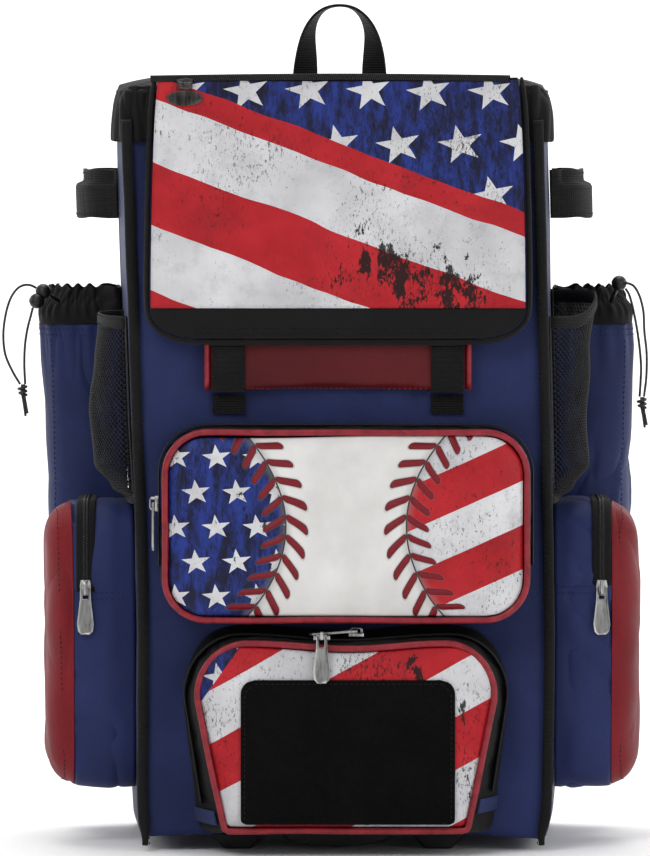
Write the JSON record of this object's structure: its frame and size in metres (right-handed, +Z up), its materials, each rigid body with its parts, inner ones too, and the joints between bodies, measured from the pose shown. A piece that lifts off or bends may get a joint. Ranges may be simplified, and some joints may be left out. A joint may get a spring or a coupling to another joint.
{
  "type": "baseball bat backpack",
  "caption": "Tall soft sports backpack with a lid flap, stacked front pockets, bat sleeves, bottle pockets and zip pockets at the sides.",
  "frame": {"origin": "bottom centre of the bag as it stands, cords left out", "axes": "+X to the right seen from the front, +Y towards the shoulder straps, +Z up"},
  "size_m": [0.5073, 0.3227, 0.6551],
  "materials": {
    "blue_cloth": "coated polyester twill, soft sheen",
    "black_cloth": "woven polyester, matte",
    "black_binding": "grosgrain binding tape",
    "webbing": "ribbed webbing",
    "printed_cloth": "smooth printed cloth, weathered stripes and stars",
    "printed_leather": "grained leather print with lace stitches",
    "red_cloth": "coated polyester, soft sheen",
    "red_piping": "glossy piping",
    "loop_pile": "loop pile",
    "net": "stretch net",
    "zip_metal": "satin zinc",
    "foot_plastic": "moulded, fine grain",
    "lock_plastic": "moulded, satin",
    "cord": "braided cord"
  },
  "bodies": {
    "bag": {"body_shell": "blue_cloth", "body_piping_left": "black_binding", "body_piping_right": "black_binding", "lid_hood": "black_cloth", "flap_panel": "black_cloth", "flap_print": "printed_cloth", "flap_binding": "black_binding", "carry_handle": "webbing", "grab_band": "red_cloth", "flap_strap_left_upper": "webbing", "flap_strap_left_lower": "webbing", "flap_strap_right_upper": "webbing", "flap_strap_right_lower": "webbing", "middle_pocket_gusset": "black_cloth", "middle_pocket_piping": "red_piping", "middle_pocket_front": "printed_leather", "lower_pocket_gusset": "black_cloth", "lower_pocket_piping": "red_piping", "lower_pocket_front": "printed_cloth", "loop_patch": "loop_pile", "middle_zip_slider": "zip_metal", "lower_zip_slider_left": "zip_metal", "lower_zip_slider_right": "zip_metal", "lower_zip_pull_right": "zip_metal", "lower_zip_tab_left": "blue_cloth", "lower_zip_tab_right": "blue_cloth", "lid_zip_slider": "zip_metal", "lid_zip_pull": "zip_metal", "skid_left": "foot_plastic", "skid_right": "foot_plastic", "centre_foot": "foot_plastic", "bat_sleeve_left": "blue_cloth", "sleeve_collar_left": "black_cloth", "cord_lock_left": "lock_plastic", "cord_left_outer": "cord", "cord_left_inner": "cord", "cord_knot_left": "cord", "mesh_pocket_left": "net", "side_pocket_gusset_left": "blue_cloth", "side_pocket_panel_left": "red_cloth", "side_zip_slider_left": "zip_metal", "bat_loop_left": "webbing", "shoulder_strap_left": "black_cloth", "bat_sleeve_right": "blue_cloth", "sleeve_collar_right": "black_cloth", "cord_lock_right": "lock_plastic", "cord_right_outer": "cord", "cord_right_inner": "cord", "cord_knot_right": "cord", "mesh_pocket_right": "net", "side_pocket_gusset_right": "blue_cloth", "side_pocket_panel_right": "red_cloth", "side_zip_slider_right": "zip_metal", "bat_loop_right": "webbing", "shoulder_strap_right": "black_cloth"},
    "side_pull_left": {"side_zip_pull_left": "zip_metal"},
    "side_pull_right": {"side_zip_pull_right": "zip_metal"},
    "middle_pull": {"middle_zip_pull": "zip_metal"},
    "lower_pull": {"lower_zip_pull_left": "zip_metal"}
  },
  "joints": [
    {"name": "side_pull_left_swing", "type": "hinge", "parent": "bag", "child": "side_pull_left", "pos_m": [-0.1955, -0.0753, 0.20195], "axis": [-1, 0, 0], "range_deg": [0, 150]},
    {"name": "side_pull_right_swing", "type": "hinge", "parent": "bag", "child": "side_pull_right", "pos_m": [0.2044, -0.0753, 0.20195], "axis": [-1, 0, 0], "range_deg": [0, 150]},
    {"name": "middle_pull_swing", "type": "hinge", "parent": "bag", "child": "middle_pull", "pos_m": [-0.1422, -0.1174, 0.26985], "axis": [0, 1, 0], "range_deg": [0, 150]},
    {"name": "lower_pull_swing", "type": "hinge", "parent": "bag", "child": "lower_pull", "pos_m": [-0.0125, -0.158, 0.17065], "axis": [-1, 0, 0], "range_deg": [0, 150]}
  ]
}
